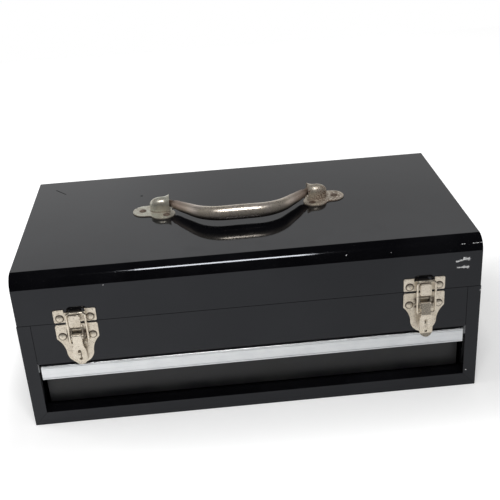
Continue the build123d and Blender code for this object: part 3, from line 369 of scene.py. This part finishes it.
# ---------------------------------------------------------------- nickel
def nickel(n, bright, dull, rust_colour, rust_start, roughness=0.3, polish=None, scale=1.0,
           metallic=1.0, more_rust=0.0, grime_and_shade=0.85, grit=0.5, dirt_and_shade=0.0):
    """Nickel plate gone dull, with dirt and painted shade in its corners and rust in patches and
    pinholes.

    polish, where it is given, takes the place of the roughness that the plate and its rust have.
    """
    tarnish = solid(chest().tarnish_colour)
    cloud = n.noise(95.0 * scale, 5.0, 0.62)
    fine = n.noise(700.0 * scale, 3.0, 0.6)
    grain = n.noise(1900.0 * scale, 2.0, 0.6)
    patch = n.noise(60.0 * scale, 6.0, 0.68, distortion=0.3)
    patch = n.math("ADD", patch, more_rust)
    pits = n.noise(1500.0 * scale, 2.0, 0.5)
    specks = n.noise(620.0 * scale, 2.0, 0.5)
    metal = n.blend(n.ramp(cloud, 0.35, 0.7), bright, dull)
    metal = n.blend(n.ramp(grain, 0.5, 0.72, 0.0, grit * 0.7), metal, tarnish)
    metal = n.blend(n.ramp(fine, 0.5, 0.66, 0.0, grit), metal, tarnish)
    rust = n.math("MULTIPLY", n.ramp(patch, rust_start, rust_start + 0.16), n.ramp(fine, 0.38, 0.62))
    rust = n.math("MAXIMUM", rust, n.ramp(pits, 0.68, 0.74, 0.0, 0.7))
    rust = n.math("MAXIMUM", rust, n.ramp(specks, 0.68, 0.74, 0.0, 0.8))
    # Marks passed in, dirt and painted shade, take the rust colour.
    rust = n.math("MAXIMUM", rust, dirt_and_shade)
    # Dirt and painted shade: the corners where pieces meet, found by occlusion, take the rust colour.
    rust = n.math("MAXIMUM", rust, n.math("MULTIPLY", n.crevice(CORNER_DIRT_AND_SHADE), grime_and_shade))
    n.shade("Base Color", n.blend(rust, metal, rust_colour))
    n.shade("Metallic", n.ramp(rust, 0.2, 0.9, metallic, RUST_METALLIC))
    if polish is None:
        smooth = n.ramp(fine, 0.3, 0.75, roughness, roughness + 0.14)
        polish = n.blend(rust, smooth, grey(RUST_ROUGHNESS))
    n.shade("Roughness", polish)
    n.shade("Normal", n.bump(fine, 0.00004, 0.35, n.bump(cloud, 0.0003, 0.25)))
    return n.material


def latch_nickel():
    """Warm, evenly dulled plate, with dirt and painted shade round each rivet head and beside the levers.
    """
    looks = chest()
    n = Nodes("latch_nickel")
    height = n.axis(n.place, "Z")
    side = n.math("ABSOLUTE", n.axis(n.place, "X"))
    aside = n.math("ABSOLUTE", n.math("SUBTRACT", side, LATCH_CENTRE))

    # A dark ring round each rivet head: dirt and a painted contact shadow.
    beside = n.math("SUBTRACT", aside, RIVET_SPREAD)
    from_strike_row = n.math("ABSOLUTE", n.math("SUBTRACT", height, STRIKE_RIVET_Z))
    from_plate_row = n.math("ABSOLUTE", n.math("SUBTRACT", height, PLATE_RIVET_Z))
    rise = n.math("MINIMUM", from_strike_row, from_plate_row)
    squares = n.math("ADD", n.math("MULTIPLY", beside, beside), n.math("MULTIPLY", rise, rise))
    ring = n.math("ABSOLUTE", n.math("SUBTRACT", n.math("SQRT", squares), RIVET_RING))
    ring = n.ramp(ring, 0.0003, 0.0008, 0.95, 0.0)

    # Dirt and painted shade in the dark strips beside each lever head.
    strip = n.math("MULTIPLY", n.ramp(aside, 0.0060, 0.0075), n.ramp(aside, 0.0105, 0.0125, 1.0, 0.0))
    from_head = n.math("ABSOLUTE", n.math("SUBTRACT", height, LEVER_HEAD_Z))
    grease_and_shade = n.math("MULTIPLY", strip, n.ramp(from_head, 0.004, 0.009, 1.0, 0.0))
    grease_and_shade = n.math("MULTIPLY", grease_and_shade, n.ramp(n.noise(330.0, 3.0, 0.6), 0.36, 0.56))

    rust = solid(looks.rust_colour)
    bright = n.blend(ring, solid(looks.nickel_colour), rust)
    dull = n.blend(ring, solid(looks.nickel_dull), rust)
    return nickel(n, bright, dull, rust, rust_start=0.64, roughness=0.32, metallic=0.75, dirt_and_shade=grease_and_shade)


def lever_nickel():
    """The levers: handled, so cleaner and shinier than their plates."""
    looks = chest()
    return nickel(
        Nodes("lever_nickel"), solid(looks.nickel_colour), solid(looks.nickel_dull),
        solid(looks.rust_colour), rust_start=0.66, roughness=0.2, metallic=0.7, grime_and_shade=0.45,
    )


def cup_nickel():
    """Pale cast-looking plate, clean on the left cup and rusty on the right one."""
    looks = chest()
    n = Nodes("cup_nickel")
    x = n.axis(n.place, "X")
    bright = n.blend(n.ramp(x, -0.02, 0.02), solid(looks.cup_colour), solid(looks.nickel_colour))
    more_rust = n.ramp(x, 0.0, 0.06, -0.04, 0.13)
    more_rust = n.math("ADD", more_rust, n.ramp(x, 0.1045, 0.116, 0.0, 0.12))
    return nickel(
        n, bright, solid(looks.cup_dull), solid(looks.cup_rust),
        rust_start=0.54, roughness=0.3, metallic=0.72, more_rust=more_rust,
    )


def rod_nickel():
    """The bent rod where it runs into the cups: brown with rust."""
    looks = chest()
    return nickel(
        Nodes("rod_nickel"), solid(looks.grip_end), solid(looks.cup_rust),
        solid(looks.rust_colour), rust_start=0.5, roughness=0.45, scale=1.4, metallic=0.8,
    )


def grip_nickel():
    """Polished by hands in the middle, brown and dull towards the cups, with painted shade underneath."""
    looks = chest()
    n = Nodes("grip_nickel")
    away = n.ramp(n.math("ABSOLUTE", n.axis(n.place, "X")), 0.040, 0.078)
    # Painted shade: the grip is darker where its surface faces down.
    under = n.ramp(n.upward(), -0.45, 0.1, 1.0, 0.0)
    bright = n.blend(away, solid(looks.grip_colour), solid(looks.grip_end))
    bright = n.blend(under, bright, solid(looks.grip_shade_under))
    dull = n.blend(away, solid(looks.nickel_dull), solid(looks.grip_end))
    dull = n.blend(under, dull, solid(looks.grip_shade_under))
    polish = n.math("ADD", n.math("MULTIPLY", away, 0.16), 0.26)
    polish = n.math("ADD", polish, n.ramp(n.noise(240.0, 3.0, 0.6), 0.35, 0.7, 0.0, 0.1))
    return nickel(
        n, bright, dull, solid(looks.rust_colour),
        rust_start=0.68, polish=polish, scale=0.45, metallic=0.78, grime_and_shade=0.5, grit=0.1,
    )


def wire_nickel():
    """The thin wire of the bails, fully metallic."""
    looks = chest()
    return nickel(
        Nodes("wire_nickel"), solid(looks.nickel_colour), solid(looks.nickel_dull),
        solid(looks.rust_colour), rust_start=0.64, roughness=0.25, scale=1.4,
    )


# ---------------------------------------------------------------- other metals
def bright_aluminium():
    """Satin extrusion with die lines along its length."""
    looks = chest()
    n = Nodes("bright_aluminium")
    lines = n.noise(1.0, 3.0, 0.6, vector=n.stretch((3.0, 2600.0, 2600.0)))
    scratch = n.noise(1.0, 2.0, 0.7, vector=n.stretch((60.0, 900.0, 2400.0)))
    handled = n.ramp(n.axis(n.place, "X"), 0.05, 0.24, 0.0, 0.2)
    cloud = n.math("ADD", n.noise(30.0, 4.0, 0.6), handled)
    colour = n.blend(n.ramp(cloud, 0.35, 0.8), solid(looks.pull_colour), solid(looks.pull_dull))
    colour = n.blend(n.ramp(lines, 0.3, 0.8, 0.0, 0.25), colour, grey(0.55))
    colour = n.blend(n.ramp(scratch, 0.64, 0.72, 0.0, 0.35), colour, grey(0.35))
    n.shade("Base Color", colour)
    n.shade("Metallic", 1.0)
    n.shade("Roughness", n.ramp(lines, 0.3, 0.7, 0.3, 0.48))
    n.shade("Normal", n.bump(lines, 0.00003, 0.4))
    return n.material


def zinc_steel():
    """Zinc plated sheet: pale, blotched and a little satin."""
    n = Nodes("zinc_steel")
    cloud = n.noise(45.0, 5.0, 0.6)
    fine = n.noise(500.0, 3.0, 0.6)
    n.shade("Base Color", n.blend(n.ramp(cloud, 0.3, 0.7), grey(0.62), solid((0.47, 0.48, 0.49))))
    n.shade("Metallic", 1.0)
    n.shade("Roughness", n.ramp(fine, 0.3, 0.7, 0.28, 0.45))
    n.shade("Normal", n.bump(fine, 0.00003, 0.4))
    return n.material


def rivet_steel():
    """Plain steel, a little mottled."""
    n = Nodes("rivet_steel")
    fine = n.noise(650.0, 4.0, 0.6)
    n.shade("Base Color", n.blend(n.ramp(fine, 0.3, 0.7), grey(0.5), grey(0.36)))
    n.shade("Metallic", 1.0)
    n.shade("Roughness", n.ramp(fine, 0.3, 0.7, 0.3, 0.5))
    return n.material


FINISH_OF_SLOT = {
    "black_enamel": black_enamel,
    "nickel_plate": latch_nickel,
    "nickel_wire": wire_nickel,
    "worn_nickel": cup_nickel,
    "handle_nickel": grip_nickel,
    "bright_aluminium": bright_aluminium,
    "rivet_steel": rivet_steel,
    "zinc_steel": zinc_steel,
}
FINISH_OF_NODE = {
    "drawer_front": drawer_enamel_painted_lighter,
    "latch_lever_left": lever_nickel,
    "latch_lever_right": lever_nickel,
    "handle_rod": rod_nickel,
    "handle_rivets_left": rod_nickel,
    "handle_rivets_right": rod_nickel,
}
finishes_made = {}


def dress(piece, node):
    """Gives a piece the finish of a frame node; each finish is made once."""
    make = FINISH_OF_NODE.get(node) or FINISH_OF_SLOT[slot_of(node)]
    if make not in finishes_made:
        finishes_made[make] = make()
    wear(piece, finishes_made[make])


# ---------------------------------------------------------------- edges
def slot_of(node):
    """The record's material slot of a node."""
    rows = frame["record"]["subparts"]
    return next(row["material_slot"] for row in rows if row["node"] == node)


def body_of(node):
    """The body that a node moves with."""
    bodies = frame["record"]["behaviour"]["bodies"]
    return next(name for name, nodes in bodies.items() if node in nodes)


def soften(node, width):
    """Stands in for a frame node with its cut edges broken, as on real sheet and castings."""
    deselect_everything()
    piece = bpy.data.objects.new(node + "_finished", cad(node).data.copy())
    bpy.context.collection.objects.link(piece)
    bpy.context.view_layer.objects.active = piece
    piece.select_set(True)
    bpy.ops.mesh.customdata_custom_splitnormals_clear()
    bpy.ops.object.mode_set(mode="EDIT")
    bpy.ops.mesh.select_all(action="SELECT")
    bpy.ops.mesh.remove_doubles(threshold=MERGE)
    bpy.ops.mesh.dissolve_limited(angle_limit=math.radians(FLAT_WITHIN))
    bpy.ops.object.mode_set(mode="OBJECT")
    edge = piece.modifiers.new("broken edges", "BEVEL")
    edge.width = width
    edge.segments = 2
    edge.limit_method = "ANGLE"
    edge.angle_limit = math.radians(BREAK_ABOVE)
    bpy.ops.object.modifier_apply(modifier=edge.name)
    bpy.ops.object.shade_smooth_by_angle(angle=math.radians(SMOOTH_BELOW))
    flat = piece.modifiers.new("flat faces", "WEIGHTED_NORMAL")
    flat.keep_sharp = True
    bpy.ops.object.modifier_apply(modifier=flat.name)
    dress(piece, node)
    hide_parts(node)
    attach(piece, body_of(node))


# ---------------------------------------------------------------- settings
def colour_setting(name, text, default):
    return bpy.props.FloatVectorProperty(
        name=name, description=text, default=default, subtype="COLOR", size=3, min=0.0, max=1.0
    )


class ChestLooks(bpy.types.PropertyGroup):
    """Colours and finishes of the chest."""

    enamel_colour: colour_setting("Enamel", "Colour of the sound enamel", (0.0026, 0.0026, 0.0034))
    enamel_worn: colour_setting("Handled enamel", "Colour of handled enamel", (0.006, 0.006, 0.0072))
    steel_colour: colour_setting("Chip", "Colour of the steel in a chip", (0.78, 0.78, 0.78))
    enamel_roughness: bpy.props.FloatProperty(
        name="Enamel roughness",
        description="Roughness of the sound enamel",
        default=0.06,
        min=0.0,
        max=1.0,
    )
    nickel_colour: colour_setting("Nickel", "Colour of the bright latch plate", (0.90, 0.82, 0.69))
    nickel_dull: colour_setting("Dull nickel", "Colour of the tarnished plate", (0.76, 0.675, 0.545))
    tarnish_colour: colour_setting("Tarnish", "Colour of the fine grit in the plate", (0.42, 0.36, 0.29))
    cup_colour: colour_setting("Cup", "Colour of the sound cup", (0.78, 0.78, 0.68))
    cup_dull: colour_setting("Dull cup", "Colour of the tarnished cup", (0.60, 0.55, 0.46))
    cup_rust: colour_setting("Cup rust", "Colour of the rust on cups and rod", (0.13, 0.072, 0.046))
    rust_colour: colour_setting("Rust", "Colour of the rust in the plate", (0.06, 0.036, 0.022))
    grip_colour: colour_setting("Grip", "Colour of the polished grip", (0.80, 0.72, 0.65))
    # The colour of the painted shade on the grip's underside.
    grip_shade_under: colour_setting("Grip underside", "Colour of the tarnished underside", (0.15, 0.13, 0.115))
    grip_end: colour_setting("Grip end", "Colour of the grip and rod near the cups", (0.36, 0.28, 0.23))
    pull_colour: colour_setting("Pull", "Colour of the bright pull", (0.88, 0.90, 0.91))
    pull_dull: colour_setting("Dull pull", "Colour of the handled pull", (0.78, 0.80, 0.82))
    sheet_edge: bpy.props.FloatProperty(
        name="Sheet edge",
        description="Width of the broken edges of the sheet",
        default=0.00025,
        unit="LENGTH",
    )
    hardware_edge: bpy.props.FloatProperty(
        name="Hardware edge",
        description="Width of the broken edges of the hardware",
        default=0.00018,
        unit="LENGTH",
    )


class ChestStage(bpy.types.PropertyGroup):
    """Camera, lamps and floor."""

    lens: bpy.props.FloatProperty(
        name="Lens",
        description="Focal length of the camera in millimetres",
        default=62.86,
        min=10.0,
    )
    lamp_power: bpy.props.FloatProperty(
        name="Ceiling lamp",
        description="Power of the ceiling lamp",
        default=18.0,
        min=0.0,
        unit="POWER",
    )
    side_power: bpy.props.FloatProperty(
        name="Side lamp",
        description="Power of the soft lamp on the left",
        default=12.0,
        min=0.0,
        unit="POWER",
    )
    room_light: bpy.props.FloatProperty(
        name="Room light",
        description="Strength of the even light from all round",
        default=0.5,
        min=0.0,
    )
    floor_glow: bpy.props.FloatProperty(
        name="Floor glow",
        description="How far the floor is lifted to white for the camera",
        default=0.5,
        min=0.0,
    )
    floor_front: bpy.props.FloatProperty(
        name="Floor front",
        description="How far the pale floor runs in front",
        default=0.65,
        min=0.1,
        unit="LENGTH",
    )


# ---------------------------------------------------------------- stage
def make_camera():
    """The photograph's camera."""
    bpy.ops.object.camera_add()
    camera = bpy.context.object
    camera.name = "photo_camera"
    turn = Matrix((CAMERA_RIGHT, CAMERA_UP, CAMERA_BACK)).transposed().to_4x4()
    camera.matrix_world = Matrix.Translation(CAMERA_PLACE) @ turn
    camera.data.sensor_width = 36.0
    camera.data.lens = stage_settings().lens
    camera.data.clip_start = 0.01
    camera.data.clip_end = 50.0
    bpy.context.scene.camera = camera


def make_floor():
    """A pale sheet that ends a little way in front of the chest, as in a small photo booth."""
    settings = stage_settings()
    depth = settings.floor_front + FLOOR_BEHIND
    bpy.ops.mesh.primitive_plane_add(size=1, location=(0, FLOOR_BEHIND - depth / 2, 0))
    floor = bpy.context.object
    floor.name = "pale_floor"
    floor.scale = (FLOOR_WIDTH, depth, 1)
    bpy.ops.object.transform_apply(location=True, rotation=True, scale=True)
    wear(floor, floor_paint(settings.floor_glow))


def floor_paint(glow):
    """Matt white, lifted to plain white for the camera all round the chest's shadow."""
    n = Nodes("pale_floor")
    x = n.axis(n.place, "X")
    y = n.axis(n.place, "Y")
    ray = n.add("ShaderNodeLightPath").outputs
    ahead = n.ramp(y, FRONT - FLOOR_FADE, FRONT, 1.0, 0.0)
    behind = n.ramp(y, 0.05, 0.3)
    left = n.ramp(x, -0.36, -0.25, 1.0, 0.0)
    right = n.ramp(x, 0.28, 0.52)
    far = n.math("MAXIMUM", behind, n.math("MAXIMUM", ahead, n.math("MAXIMUM", left, right)))
    seen = n.math("MULTIPLY", ray["Is Camera Ray"], n.ramp(far, 0.0, 1.0, 0.2, glow))
    mirrored = n.math("MULTIPLY", ray["Is Glossy Ray"], n.ramp(x, -0.25, 0.25, 0.16, 0.0))
    n.shade("Emission Strength", n.math("MAXIMUM", seen, mirrored))
    n.shade("Emission Color", grey(1.0))
    n.shade("Base Color", grey(0.92))
    n.shade("Roughness", 0.9)
    n.shade("Specular IOR Level", 0.0)
    return n.material


def make_lamp(name, power, size, place, aim, glossy):
    """A rectangular lamp; glossy says whether shiny pieces mirror it."""
    bpy.ops.object.light_add(type="AREA", location=place)
    lamp = bpy.context.object
    lamp.name = name
    lamp.data.shape = "RECTANGLE"
    lamp.data.size, lamp.data.size_y = size
    lamp.data.energy = power
    lamp.rotation_mode = "QUATERNION"
    lamp.rotation_quaternion = (Vector(aim) - Vector(place)).to_track_quat("-Z", "Y")
    lamp.visible_glossy = glossy


def make_world():
    """White to the camera, a white sweep behind and a dim room overhead in the reflections."""
    world = bpy.data.worlds.new("booth")
    bpy.context.scene.world = world
    world.use_nodes = True
    world.node_tree.nodes.clear()
    n = Tree(world.node_tree)
    look = n.add("ShaderNodeTexCoord").outputs["Generated"]
    aside = n.axis(look, "X")
    rise = n.axis(look, "Z")
    behind = n.ramp(n.axis(look, "Y"), -0.15, 0.25)
    sweep = n.math("MULTIPLY", behind, n.ramp(rise, 0.46, 0.52, 1.0, 0.0))
    fade = n.math("ADD", n.ramp(aside, -0.16, 0.04, 1.02, 0.78), n.ramp(rise, 0.40, 0.445, 0.0, 0.14))
    sweep = n.math("MULTIPLY", sweep, n.math("MINIMUM", fade, SWEEP_WHITE))
    room = n.math("MAXIMUM", sweep, DIM_ROOM)
    ray = n.add("ShaderNodeLightPath").outputs
    mirrored = n.math("MULTIPLY", ray["Is Glossy Ray"], room)
    plain = n.math("SUBTRACT", 1.0, ray["Is Glossy Ray"])
    plain = n.math("MULTIPLY", plain, stage_settings().room_light)
    light = n.math("MULTIPLY", n.math("ADD", mirrored, plain), WORLD_LEVEL)
    paint = n.add("ShaderNodeBackground")
    paint.inputs["Color"].default_value = grey(1.0)
    n.feed(paint.inputs["Strength"], n.math("MAXIMUM", ray["Is Camera Ray"], light))
    out = n.add("ShaderNodeOutputWorld")
    n.feed(out.inputs["Surface"], paint.outputs["Background"])


class CHEST_OT_stage(bpy.types.Operator):
    """Camera, floor, lamps and world"""

    bl_idname = "chest.stage"
    bl_label = "Stage"

    def execute(self, context):
        deselect_everything()
        settings = stage_settings()
        make_camera()
        make_floor()
        make_world()
        make_lamp(
            "ceiling_lamp", settings.lamp_power, size=(0.62, 0.34),
            place=(0.0, -0.95, 2.15), aim=(0.0, -0.05, 0.1), glossy=True,
        )
        make_lamp(
            "side_lamp", settings.side_power, size=(1.2, 1.2),
            place=(-1.6, 0.1, 1.5), aim=(0.0, 0.0, 0.1), glossy=False,
        )
        context.scene.view_settings.view_transform = "Standard"
        return {"FINISHED"}


class CHEST_OT_finishes(bpy.types.Operator):
    """Gives every frame node its own finish, or that of its material slot"""

    bl_idname = "chest.finishes"
    bl_label = "Finishes"

    def execute(self, context):
        for row in frame["record"]["subparts"]:
            dress(cad(row["node"]), row["node"])
        return {"FINISHED"}


class CHEST_OT_sheet_edges(bpy.types.Operator):
    """Breaks the cut edges of the case, lid and drawer"""

    bl_idname = "chest.sheet_edges"
    bl_label = "Sheet edges"

    def execute(self, context):
        for node in SHEET_NODES:
            soften(node, chest().sheet_edge)
        return {"FINISHED"}


class CHEST_OT_hardware_edges(bpy.types.Operator):
    """Breaks the edges of the latches, the pull and the handle's cups"""

    bl_idname = "chest.hardware_edges"
    bl_label = "Hardware edges"

    def execute(self, context):
        for node in HARDWARE_NODES:
            soften(node, chest().hardware_edge)
        return {"FINISHED"}


class CHEST_PT_panel(bpy.types.Panel):
    """The chest's pieces and settings"""

    bl_label = "Tool Chest"
    bl_idname = "CHEST_PT_panel"
    bl_space_type = "VIEW_3D"
    bl_region_type = "UI"
    bl_category = "Tool Chest"

    def draw(self, context):
        for owner in (context.scene.chest_looks, context.scene.chest_stage):
            box = self.layout.box()
            for key in owner.bl_rna.properties.keys():
                if key not in ("rna_type", "name"):
                    box.prop(owner, key)
        for operator in STEPS:
            self.layout.operator(operator.bl_idname)


STEPS = (CHEST_OT_stage, CHEST_OT_finishes, CHEST_OT_sheet_edges, CHEST_OT_hardware_edges)
CLASSES = (ChestLooks, ChestStage, *STEPS, CHEST_PT_panel)


def register():
    for kind in CLASSES:
        bpy.utils.register_class(kind)
    bpy.types.Scene.chest_looks = bpy.props.PointerProperty(type=ChestLooks)
    bpy.types.Scene.chest_stage = bpy.props.PointerProperty(type=ChestStage)


def unregister():
    del bpy.types.Scene.chest_looks
    del bpy.types.Scene.chest_stage
    for kind in reversed(CLASSES):
        bpy.utils.unregister_class(kind)


def main():
    register()
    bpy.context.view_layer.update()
    bpy.ops.chest.stage()
    bpy.ops.chest.finishes()
    bpy.ops.chest.sheet_edges()
    bpy.ops.chest.hardware_edges()


if __name__ == "__main__":
    main()
